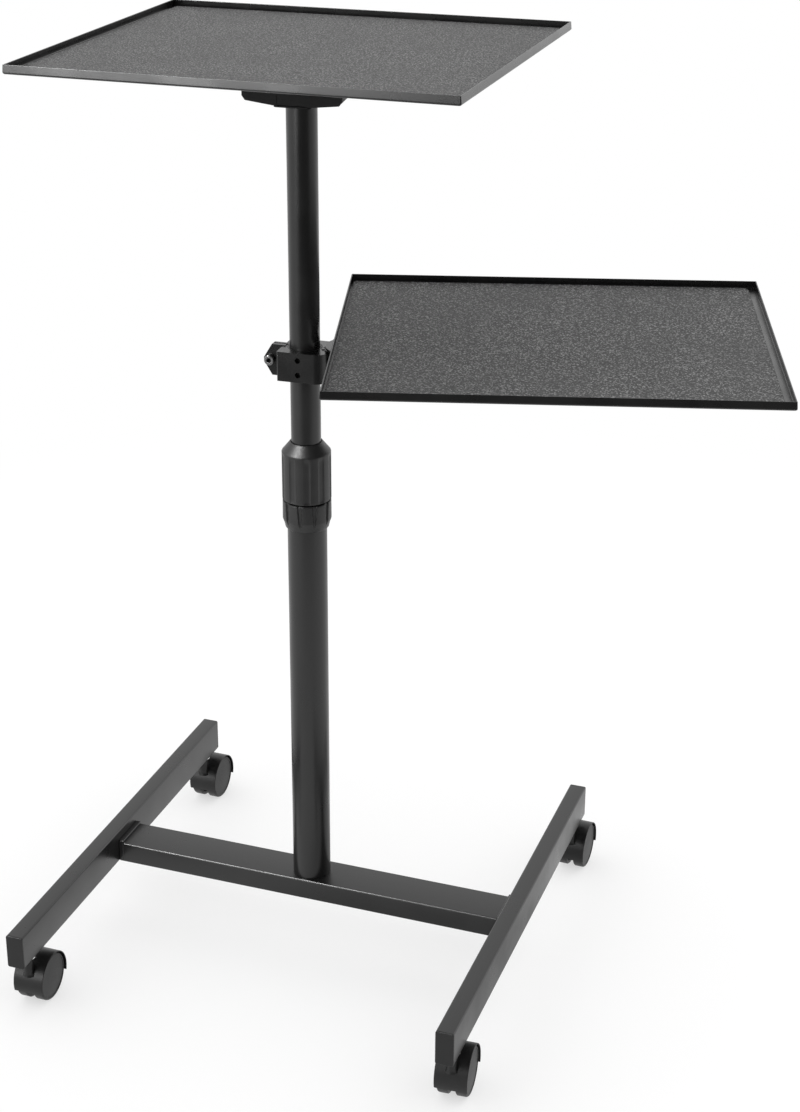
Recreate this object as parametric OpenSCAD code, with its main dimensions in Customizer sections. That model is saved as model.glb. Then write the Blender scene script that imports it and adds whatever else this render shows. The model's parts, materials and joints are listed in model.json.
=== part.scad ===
// Mobile projector cart: an H-shaped base on castors, a telescoping column
// with a twist collar, a tray on its head and a second tray on a side clamp.

/* [Base] */
// Length of each side rail over its end caps
rail_length = 530; // [420:5:700]
// Width of the rail tube
rail_width = 20; // [16:1:34]
// Height of the rail tube
rail_height = 40; // [36:1:60]
// Distance between the centre lines of the rails
rail_spacing = 496; // [400:2:700]
// How far the rails' middle lies behind the column
rail_setback = 3; // [-20:1:20]
// Width of the crossbar, front to back
crossbar_width = 50; // [46:1:80]
// Height of the crossbar
crossbar_height = 25; // [20:1:34]
// Wall of the rail and crossbar tubes
base_wall = 1.5; // [1:0.25:2.5]
// Outer corner radius of the rail tubes
tube_corner = 2; // [1.5:0.25:3]
// Outer corner radius of the crossbar tube
crossbar_corner = 3; // [2:0.25:4]
// Thickness of the plate at each end of the crossbar
end_plate = 6; // [3:0.5:8]
// How far an end plate stands above the crossbar
end_plate_lip = 3; // [0.5:0.25:5]
// Thickness of a rail end cap outside the tube
cap_face = 2; // [1:0.5:4]
// How deep an end cap plugs into the rail
cap_depth = 10; // [6:1:14]

/* [Castors] */
// Height from the floor to the underside of the rails
castor_height = 68; // [64:1:90]
// Radius of a wheel
wheel_radius = 27.5; // [24:0.5:29]
// Width of one wheel of a pair
wheel_width = 12.3; // [10:0.1:18]
// Radius of a wheel's rounded shoulder
wheel_shoulder = 1.9; // [1:0.1:3]
// How far a wheel's face lies inside the edge of the hood
face_recess = 1.2; // [0.4:0.1:2.5]
// Thickness of the web between the two wheels
web_thickness = 7; // [5:0.5:10]
// Side clearance of a wheel
wheel_gap = 0.75; // [0.5:0.25:1.5]
// Radial clearance between wheel and hood
hood_gap = 0.8; // [0.5:0.1:1.2]
// Wall of the hood
hood_wall = 1.4; // [1:0.1:2.5]
// Distance from the swivel axis back to the axle
castor_trail = 24; // [21:1:26]
// Distance from a rail's end in to the swivel axis
castor_inset = 27; // [22:1:40]
// Radius of the swivel stem
stem_radius = 5; // [4:0.25:6]
// Radius of the boss round the stem
boss_radius = 9; // [8:0.5:10]
// Radius of the axle
axle_radius = 4; // [3:0.25:6]

/* [Column] */
// Outer diameter of the lower tube
lower_tube_dia = 43; // [41:0.5:45]
// Outer diameter of the upper tube
upper_tube_dia = 32; // [28:0.5:33]
// Wall of both column tubes
column_wall = 1.5; // [1:0.25:2]
// Height of the joint between the collar's two rings
collar_split = 562; // [420:2:600]
// Largest diameter of the collar
collar_dia = 53; // [51:0.5:60]
// Height of the twist ring
twist_height = 62; // [50:1:80]
// Height of the fixed ring under it
fixed_height = 32; // [24:1:45]
// Number of flutes round the collar
flute_count = 10; // [8:1:18]
// Depth of a flute
flute_depth = 1.1; // [0.5:0.1:1.5]
// Radius of a flute
flute_radius = 9; // [7:0.5:12]
// Turn of the flutes about the column
flute_turn = 4; // [0:1:36]
// Width of a groove in the fixed ring, at its top
groove_width = 6.5; // [3:0.5:9]
// Length of a groove in the fixed ring
groove_length = 24; // [12:1:28]
// Depth of a groove in the fixed ring
groove_depth = 1.6; // [0.6:0.1:2]
// Length of upper tube left inside the lower tube
tube_overlap = 250; // [180:5:300]
// Clearance between pieces that turn or slide on each other
running_gap = 0.3; // [0.2:0.05:0.5]

/* [Head] */
// Height of the upper tray's rim above the floor
top_height = 1048; // [960:2:1100]
// Turn of the head and its tray about the column
head_yaw = 0.9; // [-5:0.1:5]
// Height of the spider bracket from its base to the tray
spider_height = 54; // [48:1:70]
// Width of the head block
hub_width = 42; // [38:1:50]
// Depth of the head block, front to back
hub_depth = 72; // [70:1:90]
// Height of the head block
hub_height = 28; // [20:1:36]
// Width of the spider over its legs
spider_width = 105; // [90:1:140]
// Width of one spider arm
arm_strip = 16; // [10:1:17]
// Thickness of bracket sheet
bracket_sheet = 2; // [1.5:0.25:3]
// Rise of a spider arm from the block to the bend
arm_rise = 3.5; // [2:0.5:6]

/* [Trays] */
// Width of a tray, left to right
tray_width = 450; // [380:5:520]
// Depth of a tray, front to back
tray_depth = 395; // [300:5:420]
// Height of a tray's rim over its underside
lip_height = 9.2; // [8:0.2:16]
// Thickness of tray sheet
tray_sheet = 1.2; // [0.8:0.1:2]
// Outer radius of the fold below a rim
lip_bend = 2.2; // [2.1:0.1:4]
// Open seam left at each corner of a rim
corner_seam = 0.8; // [0.4:0.1:2]
// Thickness of the grip mat
mat_thickness = 1.8; // [1:0.1:2.5]
// Space left between mat and rim
mat_margin = 5.5; // [3:0.5:12]
// Corner radius of the mat
mat_corner = 3; // [1:0.5:10]

/* [Shelf clamp] */
// Height of the middle of the clamp above the floor
clamp_middle = 717; // [660:1:740]
// Height of the clamp
clamp_height = 32; // [26:1:40]
// Distance from the tube's axis to the clamp's front face
clamp_reach = 24.5; // [22:0.5:30]
// Half width of the clamp block
clamp_half = 23; // [21.5:0.5:28]
// Gap between the two clamp halves
clamp_split = 2; // [1:0.5:4]
// How far an ear stands above and below the block
ear_overlap = 1; // [0:0.5:3]
// Thickness of a clamp ear
ear_thickness = 4; // [3:0.5:6]
// Distance from the tube's axis to the tip of an ear
ear_reach = 44; // [42:1:54]
// Distance from the tube's axis to a clamp bolt
bolt_offset = 37; // [32:0.5:38]
// Thickness of the liner in the clamp
liner_wall = 1.6; // [1:0.1:2.5]
// Radius of a clamp bolt
bolt_radius = 3; // [2.5:0.25:4]
// Clearance round a bolt in its hole
bolt_gap = 0.3; // [0.2:0.05:0.6]
// Radius of the two holes in the clamp's front face
face_hole_radius = 3; // [2:0.25:4]
// Distance between those two holes
face_hole_pitch = 16; // [12:1:20]
// Turn of the clamp about the column
clamp_yaw = 2.5; // [-10:0.5:12]

/* [Shelf] */
// Sideways offset of the swivel bolt from the clamp's middle
pivot_side = 2; // [-4:1:10]
// Width of the arm that carries the shelf
arm_width = 36; // [30:1:44]
// Distance from the tube's axis out to the swivel bolt
pivot_reach = 51; // [49:1:64]
// Distance from the swivel bolt to the middle of the shelf tray
shelf_offset = 209; // [205:1:240]
// Turn of the shelf tray as seen from above
shelf_yaw = 16; // [0:1:20]
// Height of the rail under the shelf tray
shelf_rail_height = 12; // [10:0.5:16]
// Width of that rail
shelf_rail_width = 60; // [50:2:90]
// Radius of the round swivel plate at the rail's end
swivel_plate_radius = 28; // [20:1:34]
// Length of that rail
shelf_rail_length = 210; // [140:5:260]

/* [Hidden] */

$fn = 64;
steel_black = [0.13, 0.13, 0.135];
tray_black = [0.16, 0.16, 0.165];
plastic_black = [0.1, 0.1, 0.105];
mat_grey = [0.3, 0.3, 0.3];
zinc = [0.72, 0.72, 0.74];
overcut = 1;

// A point turned about the origin of the plan
function turned(p, angle) = [p.x * cos(angle) - p.y * sin(angle), p.x * sin(angle) + p.y * cos(angle)];

// Heights
rail_top = castor_height + rail_height;
crossbar_top = castor_height + crossbar_height;
tray_base = top_height - lip_height;
head_base = tray_base - spider_height;
clamp_top = clamp_middle + clamp_height / 2;
arm_top = clamp_top + ear_overlap + bracket_sheet;
shelf_base = arm_top + shelf_rail_height;

// Column
lower_outer = lower_tube_dia / 2;
lower_inner = lower_outer - column_wall;
upper_outer = upper_tube_dia / 2;
upper_inner = upper_outer - column_wall;
collar_radius = collar_dia / 2;
collar_seat = 6;
bush_headroom = 16;
bush_grip = 60;
socket_roof = 6;
lower_tube_top = collar_split - collar_seat;
upper_tube_base = lower_tube_top - tube_overlap;
bush_inner = upper_outer + running_gap;
bush_outer = lower_inner - running_gap;
bush_top = collar_split + twist_height - bush_headroom;
bush_base = lower_tube_top - bush_grip;
socket_depth = hub_height - socket_roof;

// Castors, each with the turn that it is parked at
castor_width = 2 * (wheel_width + wheel_gap + face_recess) + web_thickness;
hood_inner = wheel_radius + hood_gap;
hood_outer = hood_inner + hood_wall;
swivel_front = rail_setback - rail_length / 2 + castor_inset;
swivel_back = rail_setback + rail_length / 2 - castor_inset;
axle_length = web_thickness + 2 * (wheel_gap + wheel_width - 4);
stem_depth = 15;
stem_grip = 14;
stem_flange = 1.5;
castor_places = [
    ["front_left", -rail_spacing / 2, swivel_front, 0],
    ["back_left", -rail_spacing / 2, swivel_back, -1],
    ["front_right", rail_spacing / 2, swivel_front, 3],
    ["back_right", rail_spacing / 2, swivel_back, -2]
];

// Pan-head screws under the trays
screw_radius = 2;
screw_head_radius = 4;
screw_head = 2;
foot_length = 16;
foot_hole = spider_width / 2 - 11;
foot_row = (hub_depth - arm_strip) / 2;

// Swivel bolt of the shelf, and its nut
swivel_radius = 4;
swivel_head_radius = 8;
swivel_head = 3;
swivel_nut_radius = 6;
swivel_nut = 7;
swivel_length = 2 * bracket_sheet + swivel_nut + 3;

// Shelf clamp and shelf, in the plan
liner_inner = upper_outer + running_gap;
liner_outer = liner_inner + liner_wall;
clamp_bore = liner_outer + running_gap;
shelf_pivot = turned([pivot_reach, pivot_side], clamp_yaw);
shelf_centre = shelf_pivot + turned([shelf_offset, 0], shelf_yaw);

// The origin lies on the floor under the middle of the whole cart
shelf_corners = [
    for (sx = [-1, 1], sy = [-1, 1], cut = [[0, corner_seam], [corner_seam, 0]])
        shelf_centre + turned([sx * (tray_width / 2 - cut.x), sy * (tray_depth / 2 - cut.y)], shelf_yaw)
];
hood_corners = [
    for (place = castor_places, sx = [-1, 1])
        [place[1], place[2]] + turned([sx * castor_width / 2, castor_trail + hood_outer], place[3])
];
cap_corners = [
    for (sx = [-1, 1], sy = [-1, 1])
        [sx * (rail_spacing + rail_width) / 2, rail_setback + sy * rail_length / 2]
];
upper_corners = [
    for (sx = [-1, 1], sy = [-1, 1])
        turned([sx * tray_width / 2, sy * tray_depth / 2], head_yaw)
];
plan_points = concat(shelf_corners, hood_corners, cap_corners, upper_corners);
plan_x = [for (p = plan_points) p.x];
plan_y = [for (p = plan_points) p.y];
pole = [-(min(plan_x) + max(plan_x)) / 2, -(min(plan_y) + max(plan_y)) / 2];

// Places its children round the column's axis
module on_pole() {
    translate([pole.x, pole.y, 0]) children();
}

module rounded_rect(size, radius) {
    square([size.x - 2 * radius, size.y], center = true);
    square([size.x, size.y - 2 * radius], center = true);
    for (sx = [-1, 1], sy = [-1, 1])
        translate([sx * (size.x / 2 - radius), sy * (size.y / 2 - radius)])
            circle(radius, $fn = 32);
}

// Rectangular tube section
module box_section(size, radius, wall) {
    difference() {
        rounded_rect(size, radius);
        rounded_rect([size.x - 2 * wall, size.y - 2 * wall], max(radius - wall, 0.4));
    }
}

// One flat stretch of bent strip, from a to b, in a side view
module strip(a, b, thickness) {
    run = b - a;
    translate(a) rotate(atan2(run.y, run.x)) {
        translate([0, -thickness / 2]) square([norm(run), thickness]);
        circle(thickness / 2, $fn = 24);
        translate([norm(run), 0]) circle(thickness / 2, $fn = 24);
    }
}

// Rails

module rail(side) {
    tube_length = rail_length - 2 * cap_face;
    color(steel_black) on_pole() difference() {
        translate([side * rail_spacing / 2, rail_setback, castor_height + rail_height / 2])
            rotate([90, 0, 0])
                linear_extrude(tube_length, center = true)
                    box_section([rail_width, rail_height], tube_corner, base_wall);
        for (swivel = [swivel_front, swivel_back])
            translate([side * rail_spacing / 2, swivel, castor_height - overcut])
                cylinder(h = base_wall + 2 * overcut, r = stem_radius);
    }
}

module rail_caps(side) {
    plug = [rail_width - 2 * base_wall - 2 * running_gap, rail_height - 2 * base_wall - 2 * running_gap];
    color(plastic_black) on_pole()
        translate([side * rail_spacing / 2, rail_setback, castor_height + rail_height / 2])
            for (end = [-1, 1])
                translate([0, end * rail_length / 2, 0]) rotate([90 * end, 0, 0]) {
                    linear_extrude(cap_face) rounded_rect([rail_width, rail_height], tube_corner);
                    linear_extrude(cap_face + cap_depth) box_section(plug, 1, base_wall);
                }
}

module left_rail() { rail(-1); }
module right_rail() { rail(1); }
module left_rail_caps() { rail_caps(-1); }
module right_rail_caps() { rail_caps(1); }

module crossbar() {
    bar_length = rail_spacing - rail_width - 2 * end_plate;
    color(steel_black) on_pole()
        translate([-bar_length / 2, 0, castor_height + crossbar_height / 2])
            rotate([90, 0, 90])
                linear_extrude(bar_length)
                    box_section([crossbar_width, crossbar_height], crossbar_corner, base_wall);
}

module crossbar_end_plates() {
    plate = [crossbar_width, crossbar_height + end_plate_lip];
    color(steel_black) on_pole()
        for (side = [-1, 1])
            translate([side * (rail_spacing - rail_width - end_plate) / 2, 0, castor_height + plate.y / 2])
                rotate([90, 0, 90])
                    linear_extrude(end_plate, center = true) rounded_rect(plate, crossbar_corner);
}

// Column

module ring(outer, inner, height) {
    difference() {
        cylinder(h = height, r = outer);
        translate([0, 0, -overcut]) cylinder(h = height + 2 * overcut, r = inner);
    }
}

module lower_tube() {
    color(steel_black) on_pole()
        translate([0, 0, crossbar_top]) ring(lower_outer, lower_inner, lower_tube_top - crossbar_top);
}

module upper_tube() {
    color(steel_black) on_pole()
        translate([0, 0, upper_tube_base])
            ring(upper_outer, upper_inner, head_base + socket_depth - upper_tube_base);
}

// Fixed ring: a straight band over a rounded taper, with grooves that narrow downwards to a point
module fixed_collar() {
    gap = 0.6;
    base = collar_split - gap - fixed_height;
    seat = lower_tube_top - base;
    taper = fixed_height * 0.35;
    mouth = groove_width / 2 * (1 + overcut / groove_length);
    color(plastic_black) on_pole()
        translate([0, 0, base])
            difference() {
                rotate_extrude($fn = 96)
                    polygon([
                        [lower_outer, 0], [lower_outer + 0.8, 0], [lower_outer + 2.4, 1.5],
                        [collar_radius - 0.8, taper - 2], [collar_radius, taper],
                        [collar_radius, fixed_height - 0.8], [collar_radius - 0.8, fixed_height],
                        [lower_inner, fixed_height], [lower_inner, seat], [lower_outer, seat]
                    ]);
                for (i = [0 : flute_count - 1])
                    rotate(flute_turn + (i + 0.5) * 360 / flute_count)
                        translate([collar_radius - groove_depth, 0, fixed_height])
                            rotate([90, 0, 90])
                                linear_extrude(groove_depth + overcut)
                                    polygon([[-mouth, overcut], [0, -groove_length], [mouth, overcut]]);
            }
}

// Twist ring: shallow flutes between narrow ridges under a steep cone
module twist_collar() {
    cone_height = 9;
    cone_base = twist_height - cone_height - 1;
    throat = upper_outer + running_gap;
    pocket = bush_outer + 2 * running_gap;
    color(plastic_black) on_pole()
        translate([0, 0, collar_split])
            difference() {
                rotate_extrude($fn = 96)
                    polygon([
                        [throat, twist_height], [throat + 1.2, twist_height],
                        [throat + 1.2, twist_height - 1], [collar_radius, cone_base],
                        [collar_radius, 0.8], [collar_radius - 0.8, 0],
                        [pocket, 0], [pocket, cone_base - 4], [throat, cone_base]
                    ]);
                for (i = [0 : flute_count - 1])
                    rotate(flute_turn + i * 360 / flute_count)
                        translate([collar_radius + flute_radius - flute_depth, 0, 3])
                            cylinder(h = cone_base - 5, r = flute_radius);
            }
}

module guide_bush() {
    color(plastic_black) on_pole()
        translate([0, 0, bush_base]) ring(bush_outer, bush_inner, bush_top - bush_base);
}

// Head

// Places its children round the column's axis, turned as the head is
module on_head() {
    on_pole() rotate(head_yaw) children();
}

module head_block() {
    color(plastic_black) on_head()
        translate([0, 0, head_base])
            difference() {
                union() {
                    linear_extrude(bracket_sheet) rounded_rect([hub_width, hub_depth], 4);
                    translate([0, 0, bracket_sheet])
                        linear_extrude(hub_height - bracket_sheet)
                            rounded_rect([hub_width, hub_depth - 2 * arm_strip - 2 * running_gap], 3);
                }
                translate([0, 0, -overcut]) cylinder(h = socket_depth + overcut, r = upper_outer);
            }
}

// Side view of a front or back bar: a low middle, rising arms and upright legs with feet
module spider_profile() {
    t = bracket_sheet;
    low = bracket_sheet + t / 2;
    bend = [spider_width / 2 - t / 2 - 4, low + arm_rise];
    knee = [spider_width / 2 - t / 2, bend.y + 4];
    foot = spider_height - t / 2;
    for (side = [-1, 1]) {
        strip([0, low], [side * hub_width / 2, low], t);
        strip([side * hub_width / 2, low], [side * bend.x, bend.y], t);
        strip([side * bend.x, bend.y], [side * knee.x, knee.y], t);
        strip([side * knee.x, knee.y], [side * knee.x, foot], t);
        strip([side * knee.x, foot], [side * (knee.x - foot_length), foot], t);
    }
}

module head_spider() {
    color(steel_black) on_head()
        for (end = [-1, 1])
            translate([0, end * foot_row, head_base])
                difference() {
                    rotate([90, 0, 0]) linear_extrude(arm_strip, center = true) spider_profile();
                    for (side = [-1, 1])
                        translate([side * foot_hole, 0, spider_height - 2 * bracket_sheet])
                            cylinder(h = 3 * bracket_sheet, r = screw_radius + bolt_gap);
                }
}

// Screw with its head below the origin and its shank above
module pan_screw(grip) {
    translate([0, 0, -screw_head]) cylinder(h = screw_head, r = screw_head_radius);
    cylinder(h = grip, r = screw_radius);
}

// Screws that hold the spider's feet to the tray
module head_screws() {
    color(zinc) on_head()
        for (end = [-1, 1], side = [-1, 1])
            translate([side * foot_hole, end * foot_row, tray_base - bracket_sheet])
                pan_screw(bracket_sheet + tray_sheet);
}

// Trays

// Section of a folded rim: x outward from the start of the fold, y up
module lip_section() {
    intersection() {
        translate([0, lip_bend])
            difference() {
                circle(lip_bend, $fn = 48);
                circle(lip_bend - tray_sheet, $fn = 48);
            }
        square(lip_bend);
    }
    translate([lip_bend - tray_sheet, lip_bend]) square([tray_sheet, lip_height - lip_bend]);
}

module lip(run) {
    rotate([90, 0, 0]) linear_extrude(run, center = true) lip_section();
}

module tray_pan(holes) {
    flat = [tray_width - 2 * lip_bend, tray_depth - 2 * lip_bend];
    difference() {
        union() {
            linear_extrude(tray_sheet) square(flat, center = true);
            for (side = [0, 180]) {
                rotate(side) translate([flat.x / 2, 0, 0]) lip(tray_depth - 2 * corner_seam);
                rotate(side + 90) translate([flat.y / 2, 0, 0]) lip(tray_width - 2 * corner_seam);
            }
        }
        for (hole = holes)
            translate([hole.x, hole.y, -overcut]) cylinder(h = tray_sheet + 2 * overcut, r = screw_radius);
    }
}

module mat() {
    linear_extrude(mat_thickness)
        rounded_rect([
            tray_width - 2 * (tray_sheet + mat_margin),
            tray_depth - 2 * (tray_sheet + mat_margin)
        ], mat_corner);
}

module upper_tray() {
    color(tray_black) on_head()
        translate([0, 0, tray_base])
            tray_pan([
                for (end = [-1, 1], side = [-1, 1])
                    [side * foot_hole, end * foot_row]
            ]);
}

module upper_mat() {
    color(mat_grey) on_head() translate([0, 0, tray_base + tray_sheet]) mat();
}

// Shelf clamp

// Places its children at the clamp's middle, turned as the clamp is
module on_clamp() {
    on_pole() translate([0, 0, clamp_middle]) rotate(clamp_yaw) children();
}

module clamp_liner() {
    color(plastic_black) on_clamp()
        translate([0, 0, -clamp_height / 2]) ring(liner_outer, liner_inner, clamp_height);
}

// Outline of an ear, tip to the left, in the front view
module ear_outline() {
    rise = clamp_height / 2 + ear_overlap;
    polygon([
        [-ear_reach, -2], [-ear_reach, 2], [-ear_reach + 9, rise],
        [0, rise], [0, -rise], [-ear_reach + 9, -rise]
    ]);
}

// One half of the clamp: a block with two ears, its flat face towards -Y
module clamp_half_block(front_radius) {
    depth = clamp_reach - clamp_split / 2;
    difference() {
        union() {
            translate([0, -clamp_split / 2 - depth / 2, -clamp_height / 2])
                linear_extrude(clamp_height)
                    union() {
                        rounded_rect([2 * clamp_half, depth], front_radius);
                        translate([0, depth / 4]) square([2 * clamp_half, depth / 2], center = true);
                    }
            for (side = [0, 1])
                mirror([side, 0, 0])
                    translate([0, -clamp_split / 2, 0])
                        rotate([90, 0, 0]) linear_extrude(ear_thickness) ear_outline();
        }
        translate([0, 0, -clamp_height]) cylinder(h = 2 * clamp_height, r = clamp_bore);
        for (side = [-1, 1])
            translate([side * bolt_offset, 0, 0]) rotate([90, 0, 0])
                cylinder(h = clamp_reach, r = bolt_radius + bolt_gap);
    }
}

module clamp_front() {
    color(steel_black) on_clamp()
        difference() {
            clamp_half_block(4);
            for (side = [-1, 1])
                translate([0, -clamp_bore + overcut, side * face_hole_pitch / 2]) rotate([90, 0, 0])
                    cylinder(h = clamp_reach, r = face_hole_radius);
        }
}

module clamp_rear() {
    color(steel_black) on_clamp() mirror([0, 1, 0]) clamp_half_block(4);
}

// Socket-head bolts through both pairs of ears, with their nuts
module clamp_bolts() {
    head = 5;
    ears = clamp_split / 2 + ear_thickness;
    color(zinc) on_clamp()
        for (side = [-1, 1]) {
            front = side < 0 ? ears : ears + bracket_sheet;
            translate([side * bolt_offset, -front, 0])
                rotate([-90, 0, 0])
                    difference() {
                        union() {
                            translate([0, 0, -head]) cylinder(h = head, r = 5.5);
                            cylinder(h = front + ears + 5, r = bolt_radius);
                        }
                        translate([0, 0, -head - overcut]) cylinder(h = 3 + overcut, r = 3, $fn = 6);
                    }
            translate([side * bolt_offset, ears, 0])
                rotate([-90, 0, 0]) difference() {
                    cylinder(h = 4.5, r = 5.7, $fn = 6);
                    translate([0, 0, -overcut]) cylinder(h = 8, r = bolt_radius);
                }
        }
}

// Channel that reaches from the ears out under the shelf, open below, its free end cut at a slant
module shelf_arm() {
    t = bracket_sheet;
    front = -(clamp_split / 2 + ear_thickness) - t;
    start = clamp_half + 0.5;
    finish = pivot_reach + 16;
    under = clamp_height / 2 + ear_overlap;
    color(steel_black) on_clamp()
        difference() {
            union() {
                translate([start, front, under]) cube([finish - start, arm_width, t]);
                for (flange = [front, front + arm_width - t])
                    translate([0, flange + t, 0]) rotate([90, 0, 0]) linear_extrude(t)
                        polygon([
                            [start, under + t], [start, -under],
                            [ear_reach + 4, -under], [finish, under - 6],
                            [finish, under + t]
                        ]);
            }
            translate([pivot_reach, pivot_side, 0]) cylinder(h = clamp_height, r = swivel_radius + bolt_gap);
            translate([bolt_offset, 0, 0]) rotate([90, 0, 0])
                cylinder(h = clamp_reach, r = bolt_radius + bolt_gap);
        }
}

// Shelf

// Places its children at the swivel axis, turned as the shelf is
module on_swivel() {
    on_pole() translate([shelf_pivot.x, shelf_pivot.y, arm_top + running_gap]) rotate(shelf_yaw) children();
}

rail_overhang = 15;
rail_flange = 12;
shelf_screws = [
    for (along = [0.2, 0.85], side = [-1, 1])
        [shelf_rail_length * along - rail_overhang, side * (shelf_rail_width - rail_flange) / 2]
];

// Hat-section rail under the shelf tray, with flanges against the tray and a round swivel plate
module shelf_rail() {
    t = bracket_sheet;
    inner = shelf_rail_width - 2 * rail_flange;
    color(steel_black) on_swivel()
        difference() {
            union() {
                cylinder(h = t, r = swivel_plate_radius);
                translate([-rail_overhang, 0, 0])
                    rotate([90, 0, 90])
                        linear_extrude(shelf_rail_length) {
                            translate([-inner / 2, 0]) square([inner, t]);
                            for (side = [0, 1])
                                mirror([side, 0]) {
                                    translate([inner / 2 - t, 0]) square([t, shelf_rail_height]);
                                    translate([inner / 2 - t, shelf_rail_height - t]) square([rail_flange + t, t]);
                                }
                        }
            }
            translate([0, 0, -overcut]) cylinder(h = 2 * shelf_rail_height, r = swivel_radius + bolt_gap);
            for (hole = shelf_screws)
                translate([hole.x, hole.y, 0])
                    cylinder(h = 2 * shelf_rail_height, r = screw_radius + bolt_gap);
        }
}

module ring_nut(outer, inner, height) {
    difference() {
        cylinder(h = height, r = outer, $fn = 6);
        translate([0, 0, -overcut]) cylinder(h = height + 2 * overcut, r = inner);
    }
}

// Swivel bolt: its head lies in the rail and its nut under the arm
module swivel_bolt() {
    color(zinc) on_swivel() {
        translate([0, 0, bracket_sheet]) cylinder(h = swivel_head, r = swivel_head_radius);
        translate([0, 0, -swivel_length]) cylinder(h = swivel_length + bracket_sheet, r = swivel_radius);
        translate([0, 0, -bracket_sheet - 2 * running_gap - swivel_nut])
            ring_nut(swivel_nut_radius, swivel_radius, swivel_nut);
        for (hole = shelf_screws)
            translate([hole.x, hole.y, shelf_rail_height - bracket_sheet])
                pan_screw(bracket_sheet + tray_sheet);
    }
}

module shelf_tray() {
    color(tray_black) on_swivel()
        translate([shelf_offset, 0, shelf_rail_height])
            tray_pan([for (hole = shelf_screws) [hole.x - shelf_offset, hole.y]]);
}

module shelf_mat() {
    color(mat_grey) on_swivel()
        translate([shelf_offset, 0, shelf_rail_height + tray_sheet]) mat();
}

// Castors

// Places its children at a castor's swivel axis on the floor, with the trail towards +Y
module on_castor(place) {
    on_pole() translate([place[1], place[2], 0]) rotate(place[3]) children();
}

module stem(place) {
    color(zinc) on_castor(place) {
        translate([0, 0, castor_height - stem_depth])
            cylinder(h = stem_depth + base_wall + stem_grip, r = stem_radius);
        translate([0, 0, castor_height - stem_flange]) cylinder(h = stem_flange, r = boss_radius);
    }
}

// Moulded castor body: a web with a boss, a hood over both wheels, and axle stubs
module castor_body(place) {
    boss_top = castor_height - stem_flange - running_gap;
    wheel_bay = 2 * wheel_radius;
    color(plastic_black) on_castor(place)
        difference() {
            union() {
                translate([0, castor_trail, wheel_radius]) rotate([0, 90, 0]) {
                    difference() {
                        cylinder(h = castor_width, r = hood_outer, center = true, $fn = 96);
                        cylinder(h = castor_width + 2 * overcut, r = hood_inner, center = true, $fn = 96);
                    }
                    cylinder(h = web_thickness, r = hood_inner + 0.2, center = true, $fn = 96);
                    cylinder(h = axle_length, r = axle_radius, center = true);
                }
                translate([0, 0, wheel_radius]) cylinder(h = boss_top - wheel_radius, r = boss_radius);
            }
            for (side = [-1, 1])
                translate([side * (web_thickness + wheel_bay) / 2, castor_trail, wheel_radius])
                    rotate([0, 90, 0])
                        difference() {
                            cylinder(h = wheel_bay, r = hood_inner, center = true, $fn = 96);
                            cylinder(h = wheel_bay + 2 * overcut, r = axle_radius, center = true);
                        }
            translate([0, 0, castor_height - stem_depth - running_gap])
                cylinder(h = stem_depth + overcut, r = stem_radius + 0.05);
            // The hood ends level with the axle behind and just over the floor in front
            translate([-castor_width, castor_trail + axle_radius + 3, -overcut])
                cube([2 * castor_width, 2 * hood_outer, wheel_radius + overcut]);
            translate([-castor_width, -2 * hood_outer, -hood_outer])
                cube([2 * castor_width, 4 * hood_outer, hood_outer + 6]);
        }
}

// One wheel: a tread with a rounded shoulder, a flat disc face outside and a rim and hub inside
module wheel(place, side) {
    inner = web_thickness / 2 + wheel_gap;
    rim = 4;
    hub = axle_radius + 4;
    pocket = 3;
    bore = axle_radius + 0.05;
    color(plastic_black) on_castor(place)
        translate([side * inner, castor_trail, wheel_radius])
            rotate([0, 90 * side, 0])
                rotate_extrude($fn = 96)
                    polygon(concat(
                        [
                            [bore, 0], [hub, 0], [hub, pocket], [wheel_radius - rim, pocket],
                            [wheel_radius - rim, 0], [wheel_radius - 1, 0], [wheel_radius, 1]
                        ],
                        [
                            for (turn = [0 : 15 : 90])
                                [wheel_radius - wheel_shoulder, wheel_width - wheel_shoulder]
                                    + wheel_shoulder * [cos(turn), sin(turn)]
                        ],
                        [[0, wheel_width], [0, wheel_width - pocket], [bore, wheel_width - pocket]]
                    ));
}

module front_left_stem() { stem(castor_places[0]); }
module front_left_castor() { castor_body(castor_places[0]); }
module front_left_outer_wheel() { wheel(castor_places[0], -1); }
module front_left_inner_wheel() { wheel(castor_places[0], 1); }
module back_left_stem() { stem(castor_places[1]); }
module back_left_castor() { castor_body(castor_places[1]); }
module back_left_outer_wheel() { wheel(castor_places[1], -1); }
module back_left_inner_wheel() { wheel(castor_places[1], 1); }
module front_right_stem() { stem(castor_places[2]); }
module front_right_castor() { castor_body(castor_places[2]); }
module front_right_inner_wheel() { wheel(castor_places[2], -1); }
module front_right_outer_wheel() { wheel(castor_places[2], 1); }
module back_right_stem() { stem(castor_places[3]); }
module back_right_castor() { castor_body(castor_places[3]); }
module back_right_inner_wheel() { wheel(castor_places[3], -1); }
module back_right_outer_wheel() { wheel(castor_places[3], 1); }

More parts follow.
